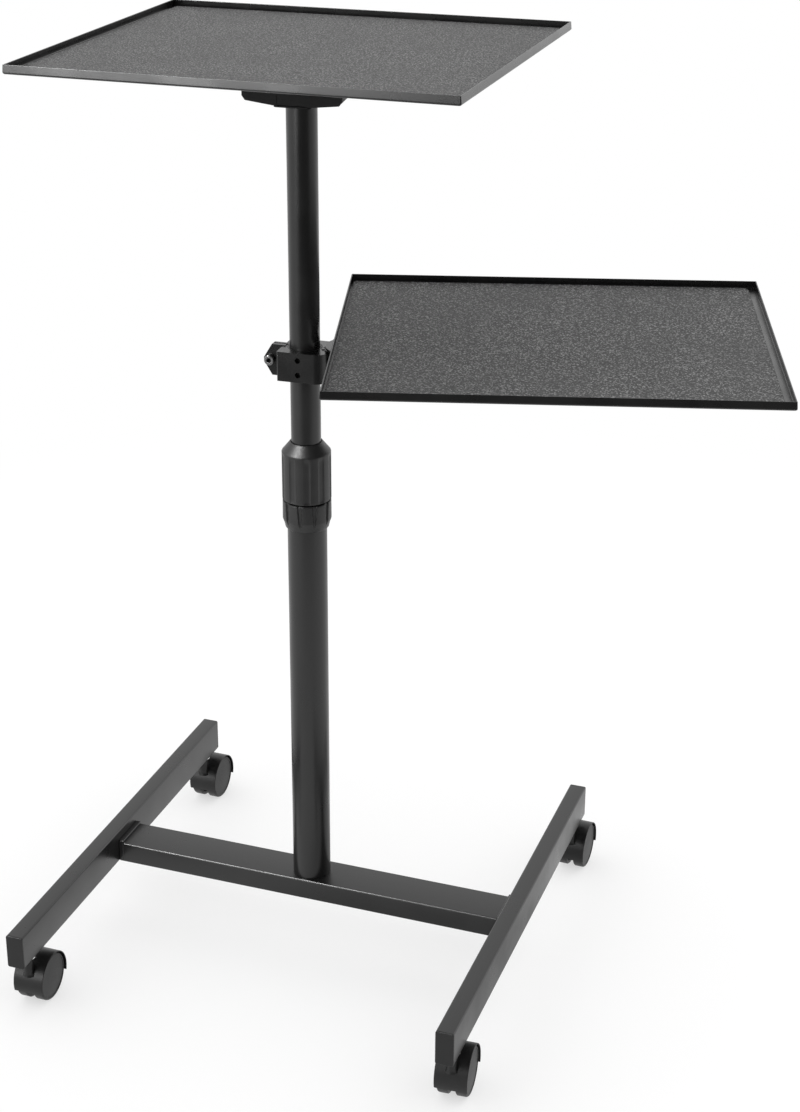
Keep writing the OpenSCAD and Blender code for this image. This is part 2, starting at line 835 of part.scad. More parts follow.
left_rail();
right_rail();
left_rail_caps();
right_rail_caps();
crossbar();
crossbar_end_plates();
lower_tube();
fixed_collar();
twist_collar();
guide_bush();
upper_tube();
head_block();
head_spider();
head_screws();
upper_tray();
upper_mat();
clamp_liner();
clamp_front();
clamp_rear();
clamp_bolts();
shelf_arm();
shelf_rail();
swivel_bolt();
shelf_tray();
shelf_mat();
front_left_stem();
front_left_castor();
front_left_outer_wheel();
front_left_inner_wheel();
back_left_stem();
back_left_castor();
back_left_outer_wheel();
back_left_inner_wheel();
front_right_stem();
front_right_castor();
front_right_inner_wheel();
front_right_outer_wheel();
back_right_stem();
back_right_castor();
back_right_inner_wheel();
back_right_outer_wheel();
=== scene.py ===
import math

import bmesh
import bpy
from mathutils import Matrix, Vector
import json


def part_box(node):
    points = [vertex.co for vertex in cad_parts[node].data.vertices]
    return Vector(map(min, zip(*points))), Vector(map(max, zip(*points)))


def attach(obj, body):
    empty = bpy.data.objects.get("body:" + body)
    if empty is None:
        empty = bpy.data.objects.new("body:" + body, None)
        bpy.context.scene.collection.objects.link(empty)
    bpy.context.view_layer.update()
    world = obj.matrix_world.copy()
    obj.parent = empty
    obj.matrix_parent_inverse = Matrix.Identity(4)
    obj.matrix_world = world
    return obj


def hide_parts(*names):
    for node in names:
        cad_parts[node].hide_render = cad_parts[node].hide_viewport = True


# The mobile projector cart's looks: each piece is modelled anew over its node of the frame

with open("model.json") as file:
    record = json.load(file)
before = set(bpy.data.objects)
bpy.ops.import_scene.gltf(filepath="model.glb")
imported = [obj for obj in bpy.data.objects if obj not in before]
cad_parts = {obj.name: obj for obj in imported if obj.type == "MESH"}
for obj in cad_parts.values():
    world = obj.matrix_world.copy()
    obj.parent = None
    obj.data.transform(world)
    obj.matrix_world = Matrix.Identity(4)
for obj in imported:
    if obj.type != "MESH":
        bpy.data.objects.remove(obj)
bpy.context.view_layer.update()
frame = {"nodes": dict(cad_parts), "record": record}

# All sizes below are in millimetres, and each piece is scaled to metres as it is finished
MM = 0.001

# Turns about the upright, in degrees as seen from above
HEAD_TURN = 0.9
CLAMP_TURN = 2.5
SHELF_TURN = 16
FLUTE_TURN = 4
CASTOR_TURNS = {"front_left": 0, "back_left": -1, "front_right": 3, "back_right": -2}

# Base
TUBE_WALL = 1.5
TUBE_CORNER = 2
CAP_FACE = 2

# Castors; a hood ends at its hem, above the floor
AXLE_TRAIL = 24
AXLE_HOLE = 4.05
WHEEL_RADIUS = 27.5
WHEEL_SHOULDER = 2.6
DISC_RECESS = 0.6
HOOD_RADIUS = 29.4
HOOD_WALL = 1.1
HOOD_FLARE = 0.4
HOOD_RIM = 0.5
HOOD_HEM = 19.5
WEB = 7
BOSS_RADIUS = 5.8
BOSS_ROOT = 42

# Collar; FLUTE_HALF is in degrees round the ring
THROAT_GAP = 0.3
RING_BORE = 21
CONE_RISE = 4
CONE_BASE = 7
FLUTES = 10
FLUTE_DEPTH = 1.2
FLUTE_HALF = 8.5
GROOVE_WIDTH = 6.5
GROOVE_LENGTH = 24
GROOVE_DEPTH = 1.6
GROOVE_FLANK = 0.7

# Trays and mats; LIP_LEAN is a slope, inward where negative
TRAY_SIZE = (450, 395)
SHEET = 1.2
FOLD = 2.2
SEAM = 0.8
LIP_LEAN = -0.08
MAT_MARGIN = 5.5
MAT_CORNER = 3
MAT_BACK_CORNER = 9
MAT_SHIFT = 3

# Shelf clamp
CLAMP_REACH = 24.5
CLAMP_HALF = 23
CLAMP_SHOULDER = 7
CLAMP_SPLIT = 2
CLAMP_BORE = 18.2
CLAMP_CORNER = 1.5
CLAMP_FRONT_ROUND = 13
CLAMP_REAR_ROUND = 3
EAR_THICKNESS = 4
EAR_REACH = 44
EAR_ROOT = 20
EAR_SLANT = 9
EAR_OVERLAP = 1
FACE_HOLE = 3
FACE_HOLE_PITCH = 16
BOLT_OFFSET = 37
BOLT_SHAFT = 3.9
BOLT_END = 5

# Head bracket
BRACKET = 2
SPIDER = 106
HUB = 40
HUB_DEPTH = 57
HEAD_LIFT = 3.2
HEAD_FLANGE = 27
HEAD_TAPER = 0.86
HUB_CORNER = 4
SCREW_INSET = 11
SCREW_ROW = 20

# Shelf's arm, rail and swivel
ARM_WIDTH = 36
ARM_START = 0.5
ARM_OVERHANG = 16
ARM_NOSE = 6
PIVOT_REACH = 51
PIVOT_SIDE = 2
PLATE_RADIUS = 28
HAT_WIDTH = 60
HAT_FLANGE = 12
HAT_LENGTH = 210
HAT_OVERHANG = 15
HAT_SCREWS = (0.2, 0.85)

# Hardware, as (radius, height) about its own axis; a bolt's seat is at height 0
BOLT_HEAD = [(0, 5), (3.4, 5), (4.9, 5), (5.5, 4.4), (5.5, 0.3), (5.2, 0), (BOLT_SHAFT, 0)]
BOLT_SOCKET = [(0, -5), (2.9, -5), (2.9, 8), (0, 8)]
BOLT_NUT = [(BOLT_SHAFT, 0), (6.8, 0), (6.8, 5), (BOLT_SHAFT, 5)]
SWIVEL_BOLT = [(0, 5), (6.4, 5), (8, 3.6), (8, 2), (4, 2), (4, -14), (0, -14)]
SWIVEL_SOCKET = [(0, 3.4), (2.5, 3.4), (2.5, 8), (0, 8)]
SWIVEL_NUT = [(4, -2.6), (6, -2.6), (6, -9.6), (4, -9.6)]
SCREW_HEAD = [(0, -2), (1.6, -2), (3, -1.6), (3.8, -0.9), (4, 0)]
SCREW_SHAFT = 2
RECESS_LONG, RECESS_SHORT, RECESS_DEEP, RECESS_MIDDLE = 3.4, 0.8, 1.4, -1.8

# A section drawn in the XY plane is stood upright, or laid along X
UPRIGHT = Matrix.Rotation(math.radians(90), 4, "X")
LENGTHWISE = Matrix(((0, 0, 1, 0), (1, 0, 0, 0), (0, 1, 0, 0), (0, 0, 0, 1)))


def corners(node):
    """Lowest and highest corner of a piece of the frame, in millimetres."""
    low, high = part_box(node)
    return low / MM, high / MM


def middle(node):
    """Middle of a piece of the frame, in millimetres."""
    low, high = corners(node)
    return (low + high) / 2


def radius_of(node):
    """Radius of a round upright piece of the frame, in millimetres."""
    low, high = corners(node)
    return (high.x - low.x) / 2


def standing(point, turn=0):
    """A frame of reference at that point, turned as seen from above."""
    return Matrix.Translation(point) @ Matrix.Rotation(math.radians(turn), 4, "Z")


pole = middle("lower_tube")
pole.z = 0


def at_pole(height, turn=0):
    """A frame of reference on the column's axis."""
    return standing((pole.x, pole.y, height), turn)


class Wire:
    """An outlet of a shader node that can stand in a formula."""

    def __init__(self, owner, socket):
        self.owner, self.socket = owner, socket

    def math(self, operation, first, second):
        return self.owner.add("Math", {"operation": operation}, {0: first, 1: second})

    def above(self, other):
        return self.math("MAXIMUM", self, other)

    def __add__(self, other):
        return self.math("ADD", self, other)

    def __sub__(self, other):
        return self.math("SUBTRACT", self, other)

    def __rsub__(self, other):
        return self.math("SUBTRACT", other, self)

    def __mul__(self, other):
        return self.math("MULTIPLY", self, other)

    def __truediv__(self, other):
        return self.math("DIVIDE", self, other)

    __radd__ = __add__
    __rmul__ = __mul__


class Tree:
    """A tree of shader nodes under construction."""

    def __init__(self, owner):
        owner.use_nodes = True
        self.tree = owner.node_tree
        self.tree.nodes.clear()

    def add(self, kind, settings=None, inputs=None, out=0):
        """Adds a node of that type and returns one of its outlets, if it has any."""
        node = self.tree.nodes.new("ShaderNode" + kind)
        for name, value in (settings or {}).items():
            setattr(node, name, value)
        for name, value in (inputs or {}).items():
            if isinstance(value, Wire):
                self.tree.links.new(value.socket, node.inputs[name])
            else:
                node.inputs[name].default_value = value
        if node.outputs:
            return Wire(self, node.outputs[out])

    def span(self, value, low, high, new_low=0.0, new_high=1.0):
        """A value carried smoothly from one range to another, and held inside it."""
        settings = {"clamp": True, "interpolation_type": "SMOOTHSTEP"}
        inputs = {"Value": value, "From Min": low, "From Max": high}
        return self.add("MapRange", settings, inputs | {"To Min": new_low, "To Max": new_high})

    def blend(self, share, first, second):
        """One colour at share 0 and another at share 1."""
        return self.add("Mix", {"data_type": "RGBA"}, {0: share, 6: first, 7: second}, out=2)

    def ray(self, kind):
        """1 for light paths of that kind."""
        return self.add("LightPath", out=f"Is {kind} Ray")


class Finish(Tree):
    """A material under construction."""

    def __init__(self, name):
        self.material = bpy.data.materials.new(name)
        super().__init__(self.material)

    def place(self):
        """Place on the piece, in metres."""
        return self.add("TexCoord", out="Object")

    def noise(self, size, detail=2.0, roughness=0.5, where=None):
        """Cloudy variation from 0 to 1, with clouds of that size in millimetres."""
        inputs = {"Vector": where or self.place(), "Scale": 1 / (size * MM)}
        return self.add("TexNoise", {}, inputs | {"Detail": detail, "Roughness": roughness})

    def bump(self, height, depth, strength):
        """Small relief of that depth in millimetres."""
        return self.add("Bump", {}, {"Height": height, "Distance": depth * MM, "Strength": strength})

    def close(self, **inputs):
        """Ends the material with its surface shader."""
        sockets = {}
        for name, value in inputs.items():
            sockets[name.replace("_", " ").title().replace("Ior", "IOR")] = value
        surface = self.add("BsdfPrincipled", {}, sockets)
        self.add("OutputMaterial", {}, {"Surface": surface})
        return self.material


def grey(level):
    """A neutral colour."""
    return (level, level, level, 1)


def powder_coat(name, level, gloss):
    """Black powder coat: a fine orange peel, faint dust and slightly uneven gloss."""
    finish = Finish(name)
    peel = finish.noise(1.1, 3.0, 0.6)
    drift = finish.noise(45.0, 3.0)
    dust = finish.span(finish.noise(1.6, 4.0, 0.7), 0.68, 0.8)
    colour = finish.blend(finish.span(drift, 0.3, 0.7), grey(level * 0.85), grey(level * 1.15))
    colour = finish.blend(dust * 0.3, colour, grey(level * 5))
    roughness = finish.span(drift, 0.3, 0.7, gloss - 0.03, gloss + 0.04) + dust * 0.15
    return finish.close(base_color=colour, roughness=roughness, normal=finish.bump(peel, 0.05, 0.22))


def grip_sheet():
    """Grip mat: a dull grey sheet with a dense grit of light and dark grains."""
    finish = Finish("grip_mat_sheet")
    bright_grit = finish.noise(1.6, 0.0)
    elsewhere = finish.add("Mapping", {}, {"Vector": finish.place(), "Location": (0.5, 0.3, 0)})
    dark_grit = finish.noise(1.9, 0.0, where=elsewhere)
    cloud = finish.noise(80.0)
    grain = bright_grit * 0.5 + dark_grit * 0.5
    light = finish.span(bright_grit, 0.5, 0.68)
    dark = finish.span(dark_grit, 0.34, 0.5, 1.0, 0.0)
    # Light grains on the sheet's own colour, black pits between them, and a soft darker cloud
    colour = finish.blend(light, grey(0.022), grey(0.225))
    colour = finish.blend(dark * 0.95, colour, grey(0.002))
    colour = finish.blend(finish.span(cloud, 0.35, 0.7) * 0.3, colour, grey(0.02))
    return finish.close(base_color=colour, roughness=light * 0.1 + 0.6, normal=finish.bump(grain, 0.5, 0.7))


def moulded(name, level, gloss, grain, relief, shine=0.5):
    """Moulded black plastic with a fine spark-eroded grain."""
    finish = Finish(name)
    pits = finish.noise(grain, 3.0, 0.7)
    drift = finish.noise(18.0)
    colour = finish.blend(finish.span(drift, 0.3, 0.7), grey(level * 0.8), grey(level * 1.2))
    roughness = finish.span(pits, 0.35, 0.65, gloss - 0.06, gloss + 0.08)
    relief = finish.bump(pits, relief, 0.6)
    return finish.close(base_color=colour, roughness=roughness, specular_ior_level=shine, normal=relief)


def zinc_plate(name, level, gloss):
    """Zinc plate with faint turning marks and dull patches."""
    finish = Finish(name)
    marks = finish.noise(0.5, 4.0, 0.7)
    patch = finish.noise(4.0)
    colour = finish.blend(finish.span(patch, 0.3, 0.7), grey(level * 0.85), grey(level * 1.1))
    roughness = finish.span(marks, 0.3, 0.7, gloss - 0.08, gloss + 0.08)
    relief = finish.bump(marks, 0.02, 0.5)
    return finish.close(base_color=colour, roughness=roughness, metallic=1.0, normal=relief)


frame_coat = powder_coat("frame_coat", 0.008, 0.3)
tray_coat = powder_coat("tray_coat", 0.008, 0.27)
bracket_coat = powder_coat("bracket_coat", 0.005, 0.24)
head_coat = moulded("head_coat", 0.003, 0.5, 0.8, 0.04, 0.15)
grip_mat = grip_sheet()
collar_plastic = moulded("collar_plastic", 0.009, 0.42, 0.9, 0.15)
castor_plastic = moulded("castor_plastic", 0.006, 0.38, 0.6, 0.03, 0.35)
wheel_plastic = moulded("wheel_plastic", 0.009, 0.45, 0.8, 0.05, 0.3)
zinc = zinc_plate("bright_zinc", 0.7, 0.28)
bolt_zinc = zinc_plate("bolt_zinc", 0.22, 0.3)


class Shape:
    """A mesh being modelled, in millimetres."""

    def __init__(self):
        self.bm = bmesh.new()

    def move(self, verts, vector):
        """Shifts points."""
        bmesh.ops.translate(self.bm, vec=vector, verts=verts)

    def block(self, size, centre):
        """A plain block."""
        verts = bmesh.ops.create_cube(self.bm, size=1)["verts"]
        bmesh.ops.scale(self.bm, vec=size, verts=verts)
        self.move(verts, centre)

    def plate(self, width, height, corner=0, steps=6):
        """A flat rectangle in the XY plane, with rounded corners."""
        verts = bmesh.ops.create_grid(self.bm, x_segments=1, y_segments=1, size=0.5)["verts"]
        bmesh.ops.scale(self.bm, vec=(width, height, 1), verts=verts)
        face = verts[0].link_faces[0]
        if corner:
            made = bmesh.ops.bevel(
                self.bm, geom=verts, offset=corner, segments=steps,
                profile=0.5, affect="VERTICES", material=-1,
            )
            face = max(made["verts"][0].link_faces, key=lambda f: f.calc_area())
        return face

    def outline(self, points):
        """A flat face in the XY plane with that outline."""
        return self.bm.faces.new([self.bm.verts.new((x, y, 0)) for x, y in points])

    def raise_face(self, faces, height):
        """Extrudes faces along Z, from z = 0 to that height, and returns all their points."""
        made = bmesh.ops.extrude_face_region(self.bm, geom=list(faces), use_keep_orig=True)["geom"]
        verts = [v for v in made if isinstance(v, bmesh.types.BMVert)]
        self.move(verts, (0, 0, height))
        return verts + [v for f in faces for v in f.verts]

    def hollow(self, face, wall):
        """Turns a flat face into a ring with that wall, and returns the ring's faces."""
        ring = bmesh.ops.inset_region(
            self.bm, faces=[face], thickness=wall, use_even_offset=True, use_boundary=True,
        )["faces"]
        bmesh.ops.delete(self.bm, geom=[face], context="FACES")
        return ring

    def square_tube(self, width, height, length, steps):
        """A hollow square tube along Z, about z = 0, with steps to each rounded corner."""
        ring = self.hollow(self.plate(width, height, TUBE_CORNER, steps), TUBE_WALL)
        verts = self.raise_face(ring, length)
        self.move(list(dict.fromkeys(verts)), (0, 0, -length / 2))

    def turned(self, profile, steps=96, close=True):
        """Spins a profile of (radius, height) points about the Z axis."""
        verts = [self.bm.verts.new((r, 0, z)) for r, z in profile]
        pairs = list(zip(verts, verts[1:])) + ([(verts[-1], verts[0])] if close else [])
        edges = [self.bm.edges.new(pair) for pair in pairs]
        bmesh.ops.spin(
            self.bm, geom=verts + edges, cent=(0, 0, 0), axis=(0, 0, 1), dvec=(0, 0, 0),
            angle=math.tau, steps=steps, use_merge=True, use_duplicate=False,
        )

    def place(self, verts, matrix):
        """Brings points to a place of their own."""
        bmesh.ops.transform(self.bm, matrix=matrix, verts=list(dict.fromkeys(verts)))

    def ribbon(self, points, run):
        """A strip of no thickness along points in the XY plane, drawn out along Z about z = 0."""
        verts = [self.bm.verts.new((x, y, -run / 2)) for x, y in points]
        edges = [self.bm.edges.new(pair) for pair in zip(verts, verts[1:])]
        made = bmesh.ops.extrude_edge_only(self.bm, edges=edges)["geom"]
        self.move([g for g in made if isinstance(g, bmesh.types.BMVert)], (0, 0, run))

    def clip(self, point, normal):
        """Cuts off everything on that side of a plane."""
        everything = self.bm.verts[:] + self.bm.edges[:] + self.bm.faces[:]
        bmesh.ops.bisect_plane(
            self.bm, geom=everything, plane_co=point, plane_no=normal, clear_outer=True,
        )

    def tidy(self):
        """Merges doubled points and turns every face outward."""
        bmesh.ops.remove_doubles(self.bm, verts=self.bm.verts, dist=0.0005)
        bmesh.ops.recalc_face_normals(self.bm, faces=self.bm.faces)

    def object(self, name, matrix):
        """A plain object with this shape, brought to its place and still in millimetres."""
        self.tidy()
        self.bm.transform(matrix)
        mesh = bpy.data.meshes.new(name)
        self.bm.to_mesh(mesh)
        self.bm.free()
        piece = bpy.data.objects.new(name, mesh)
        bpy.context.scene.collection.objects.link(piece)
        return piece


def settle(piece):
    """Bakes a piece's modifiers into its mesh."""
    bpy.context.view_layer.update()
    seen = piece.evaluated_get(bpy.context.evaluated_depsgraph_get())
    mesh = bpy.data.meshes.new_from_object(seen)
    piece.modifiers.clear()
    piece.data = mesh
    return piece


def thicken(piece, thickness, offset=0):
    """Gives a modelled surface the thickness of its sheet."""
    wall = piece.modifiers.new("sheet", "SOLIDIFY")
    wall.thickness, wall.offset, wall.use_even_offset = thickness, offset, True
    return settle(piece)


def combine(piece, tools, operation):
    """Joins or cuts a piece with others, which are used up."""
    for tool in tools:
        change = piece.modifiers.new(operation.lower(), "BOOLEAN")
        change.operation, change.object, change.solver = operation, tool, "EXACT"
    settle(piece)
    for tool in tools:
        bpy.data.objects.remove(tool)


def dress(piece, body, material, nodes, edge, segments=2, smooth=40):
    """Rounds a piece's sharp edges, gives it its finish and lets it ride on its body."""
    mesh = piece.data
    mesh.transform(Matrix.Scale(MM, 4))
    mesh.materials.clear()
    mesh.materials.append(material)
    mesh.shade_smooth()
    mesh.set_sharp_from_angle(angle=math.radians(smooth))
    if edge:
        bevel = piece.modifiers.new("edges", "BEVEL")
        bevel.width, bevel.segments = edge * MM, segments
        bevel.limit_method, bevel.angle_limit = "ANGLE", math.radians(smooth)
        even = piece.modifiers.new("even_shading", "WEIGHTED_NORMAL")
        even.keep_sharp, even.weight = False, 100
        mesh.shade_smooth()
    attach(piece, body)
    if nodes:
        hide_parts(*nodes)


# Base

def rail(side):
    """A square tube that runs from front to back."""
    name = side + "_rail"
    low, high = corners(name)
    size = high - low
    shape = Shape()
    shape.square_tube(size.x, size.z, size.y, 6)
    piece = shape.object("side_rail_" + side, Matrix.Translation(middle(name)) @ UPRIGHT)
    dress(piece, "base", frame_coat, [name], edge=0)


def rail_caps(side):
    """The plastic faces that close a rail's two ends."""
    name = side + "_rail_caps"
    low, high = corners(name)
    centre = middle(name)
    for end, y, turn in (("front", low.y, 90), ("back", high.y, -90)):
        shape = Shape()
        shape.raise_face([shape.plate(high.x - low.x, high.z - low.z, TUBE_CORNER)], -CAP_FACE)
        here = Matrix.Translation((centre.x, y, centre.z))
        piece = shape.object(f"rail_cap_{end}_{side}", here @ Matrix.Rotation(math.radians(turn), 4, "X"))
        nodes = [name] if end == "front" else []
        dress(piece, "base", castor_plastic, nodes, edge=0.6, segments=3)


def crossbar():
    """The flat tube that joins the rails and carries the column."""
    low, high = corners("crossbar")
    size = high - low
    shape = Shape()
    shape.square_tube(size.y, size.z, size.x, 8)
    piece = shape.object("cross_tube", Matrix.Translation(middle("crossbar")) @ LENGTHWISE)
    dress(piece, "base", frame_coat, ["crossbar"], edge=0)


def end_plates():
    """The plates between crossbar and rails."""
    low, high = corners("crossbar_end_plates")
    bar_low, bar_high = corners("crossbar")
    for side, x0, x1 in (("left", low.x, bar_low.x), ("right", bar_high.x, high.x)):
        shape = Shape()
        shape.raise_face([shape.plate(high.y - low.y, high.z - low.z, TUBE_CORNER, 8)], x1 - x0)
        centre = Vector((x0, (low.y + high.y) / 2, (low.z + high.z) / 2))
        piece = shape.object("end_plate_" + side, Matrix.Translation(centre) @ LENGTHWISE)
        nodes = ["crossbar_end_plates"] if side == "left" else []
        dress(piece, "base", frame_coat, nodes, edge=0.8, segments=3)


# Column

def column_tube(name, piece_name, body):
    """One of the column's two round tubes."""
    low, high = corners(name)
    radius, height = radius_of(name), high.z - low.z
    profile = [(radius, 0), (radius, height), (radius - TUBE_WALL, height), (radius - TUBE_WALL, 0)]
    shape = Shape()
    shape.turned(profile, steps=128)
    dress(shape.object(piece_name, at_pole(low.z)), body, frame_coat, [name], edge=0.3)


def arc(centre, radius, start, finish, steps):
    """Points along a round stretch, angles in degrees."""
    turns = [math.radians(start + (finish - start) * i / steps) for i in range(steps + 1)]
    return [(centre[0] + radius * math.cos(a), centre[1] + radius * math.sin(a)) for a in turns]


def bent(points, radius, steps=5):
    """The same run of points with its inner corners rounded."""
    path = [points[0]]
    for before, here, after in zip(points, points[1:], points[2:]):
        start, corner, end = Vector(before), Vector(here), Vector(after)
        into, away = (corner - start).normalized(), (end - corner).normalized()
        half = into.angle(away) / 2
        side = 1 if into.x * away.y > into.y * away.x else -1
        first = corner - into * radius * math.tan(half)
        centre = first + Vector((-into.y, into.x)) * side * radius
        sweep = [side * 2 * half * i / steps for i in range(steps + 1)]
        spoke = first - centre
        path += [
            (
                centre.x + spoke.x * math.cos(a) - spoke.y * math.sin(a),
                centre.y + spoke.x * math.sin(a) + spoke.y * math.cos(a),
            )
            for a in sweep
        ]
    return path + [points[-1]]


def wave(angle, count):
    """Angle in degrees to the nearest of count even places round a ring."""
    pitch = 360 / count
    return (angle + pitch / 2) % pitch - pitch / 2


def twist_ring():
    """The collar's upper ring: a cone over a body with shallow flutes."""
    low, high = corners("twist_collar")
    radius, height = radius_of("twist_collar"), high.z - low.z
    throat = radius_of("upper_tube") + THROAT_GAP
    crown = height + CONE_RISE
    cone_base = height - CONE_BASE
    profile = (
        [(throat, crown - 0.6), (throat + 0.5, crown), (throat + 1.3, crown - 0.2)]
        + [(radius - 0.9, cone_base + 0.9), (radius - 0.3, cone_base + 0.3), (radius, cone_base - 0.5)]
        + [(radius, cone_base - 2 - i * (cone_base - 5) / 24) for i in range(25)]
        + arc((radius - 0.8, 1.8), 0.8, 0, -90, 4)
        + [(radius - 3, 1), (radius - 3, 0), (RING_BORE, 0)]
        + [(RING_BORE, cone_base - 5), (throat, cone_base)]
    )
    shape = Shape()
    shape.turned(profile, steps=240)
    # Each flute runs out towards both ends of the body
    for vert in shape.bm.verts:
        x, y, z = vert.co
        r = math.hypot(x, y)
        if r > radius - 1.5 and z < cone_base:
            away = abs(wave(math.degrees(math.atan2(y, x)), FLUTES)) / FLUTE_HALF
            ends = min(1, max(0, (cone_base - 1 - z) / 4)) * min(1, max(0, z / 3))
            dip = FLUTE_DEPTH * max(0, 1 - away ** 3) * ends
            vert.co.x, vert.co.y = x * (1 - dip / r), y * (1 - dip / r)
    piece = shape.object("twist_ring", at_pole(low.z, FLUTE_TURN))
    dress(piece, "collar", collar_plastic, ["twist_collar"], edge=0, smooth=30)


def fixed_ring():
    """The collar's lower ring: a taper below a body with grooves that narrow downward."""
    low, high = corners("fixed_collar")
    radius, height = radius_of("fixed_collar"), high.z - low.z
    tube = radius_of("lower_tube")
    seat = corners("lower_tube")[1].z - low.z
    taper = height * 0.35
    profile = (
        [(tube, 0), (tube + 0.9, 0), (tube + 2.2, 1.4)]
        + [(radius - 1.6, taper - 4.5), (radius - 0.5, taper - 1.8), (radius, taper)]
        + [(radius, taper + i * (height - taper - 1) / 20) for i in range(1, 21)]
        + [(radius - 0.3, height - 0.3), (radius - 1, height)]
        + [(tube - TUBE_WALL, height), (tube - TUBE_WALL, seat), (tube, seat)]
    )
    shape = Shape()
    shape.turned(profile, steps=320)
    # The grooves stand between the flutes above and have steep flanks
    half, between = GROOVE_WIDTH / 2, 180 / FLUTES
    for vert in shape.bm.verts:
        x, y, z = vert.co
        r = math.hypot(x, y)
        if r > radius - 3 and z > height - GROOVE_LENGTH:
            across = abs(math.radians(wave(math.degrees(math.atan2(y, x)) + between, FLUTES)) * radius)
            reach = half * (1 - 0.6 * (height - z) / GROOVE_LENGTH)
            dip = GROOVE_DEPTH * min(1, max(0, (reach - across) / GROOVE_FLANK))
            vert.co.x, vert.co.y = x * (1 - dip / r), y * (1 - dip / r)
    piece = shape.object("fixed_ring", at_pole(low.z, FLUTE_TURN))
    dress(piece, "base", collar_plastic, ["fixed_collar"], edge=0, smooth=35)


# Trays

def folded_tray(node, piece_name, body, turn):
    """A pan of sheet, folded up at its four sides, with an open seam at each corner."""
    low, high = corners(node)
    width, depth = TRAY_SIZE
    flat = Vector((width - 2 * FOLD, depth - 2 * FOLD))
    shape = Shape()
    bm = shape.bm
    floor = shape.plate(flat.x, flat.y)
    # Each side folds up through a quarter turn, and its lip is drawn up from there
    for edge in list(floor.edges):
        centre = (edge.verts[0].co + edge.verts[1].co) / 2
        out = centre.normalized()
        axis = out.cross(Vector((0, 0, 1)))
        hinge = centre + Vector((0, 0, FOLD))
        made = bmesh.ops.spin(
            bm, geom=[edge], cent=hinge, axis=axis, dvec=(0, 0, 0),
            angle=math.radians(90), steps=6, use_merge=False, use_duplicate=False,
        )["geom_last"]
        rim = [g for g in made if isinstance(g, bmesh.types.BMEdge)]
        raised = bmesh.ops.extrude_edge_only(bm, edges=rim)["geom"]
        rise = (0, 0, high.z - low.z - FOLD)
        shape.move([g for g in raised if isinstance(g, bmesh.types.BMVert)], rise)
    # The lips grow towards the corners, to a narrow seam, and lean
    grow = 1 - SEAM / FOLD
    for vert in bm.verts:
        over_x = abs(vert.co.x) - flat.x / 2
        over_y = abs(vert.co.y) - flat.y / 2
        if over_x > 0.001 and over_y < 0.001:
            vert.co.y += math.copysign(over_x * grow, vert.co.y)
        elif over_y > 0.001 and over_x < 0.001:
            vert.co.x += math.copysign(over_y * grow, vert.co.x)
        lean = LIP_LEAN * max(0, vert.co.z - FOLD)
        if over_x > 0.001:
            vert.co.x += lean * math.copysign(1, vert.co.x)
        if over_y > 0.001:
            vert.co.y += lean * math.copysign(1, vert.co.y)
    centre = middle(node)
    piece = shape.object(piece_name, standing((centre.x, centre.y, low.z), turn))
    # The surface is the sheet's outer face, so it looks down and out before it gets its thickness
    if sum(p.normal.z for p in piece.data.polygons if p.area > 0.01) > 0:
        piece.data.flip_normals()
    thicken(piece, SHEET, -1)
    dress(piece, body, tray_coat, [node], edge=0.4, segments=3)


def grip_sheet_piece(node, piece_name, body, turn, shift=0, back_corner=MAT_CORNER):
    """The mat: a thin sheet with softened edges that lies loose on the tray."""
    low, high = corners(node)
    width, depth = (side - 2 * (SHEET + MAT_MARGIN) for side in TRAY_SIZE)
    shape = Shape()
    outline = []
    for start, x, y in ((180, -1, -1), (270, 1, -1), (0, 1, 1), (90, -1, 1)):
        corner = back_corner if start == 0 else MAT_CORNER
        centre = (x * (width / 2 - corner) + shift, y * (depth / 2 - corner))
        outline += arc(centre, corner, start, start + 90, 8)
    shape.raise_face([shape.outline(outline)], high.z - low.z)
    centre = middle(node)
    piece = shape.object(piece_name, standing((centre.x, centre.y, low.z), turn))
    dress(piece, body, grip_mat, [node], edge=0.5, segments=2)


# Shelf clamp

